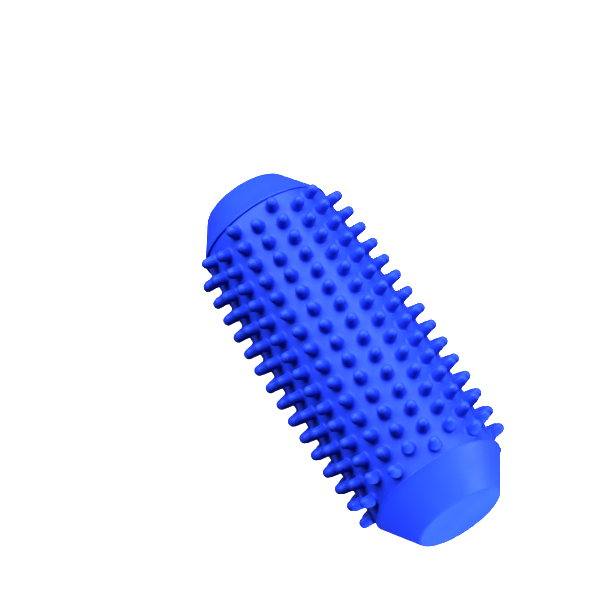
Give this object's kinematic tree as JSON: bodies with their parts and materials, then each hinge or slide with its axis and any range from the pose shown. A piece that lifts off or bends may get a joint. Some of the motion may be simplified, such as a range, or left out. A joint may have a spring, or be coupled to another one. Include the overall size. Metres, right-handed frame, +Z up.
{
  "type": "spiked laundry roller",
  "caption": "Hollow soft plastic roller with rounded nubs all over its barrel and a blunt cone at each end, for loosening laundry as it tumbles in a dryer.",
  "frame": {"origin": "on the surface the roller lies on, under the middle of its length", "axes": "+X along the roller's axis towards the end with the air plug, +Z up, +Y across the roller"},
  "size_m": [0.1525, 0.0654, 0.0654],
  "materials": {
    "blue_pvc": "satin",
    "plug_pvc": "satin"
  },
  "bodies": {
    "root": {"spiked_barrel": "blue_pvc", "plug_end_cap": "blue_pvc", "plain_end_cap": "blue_pvc", "air_plug": "plug_pvc"}
  },
  "joints": []
}
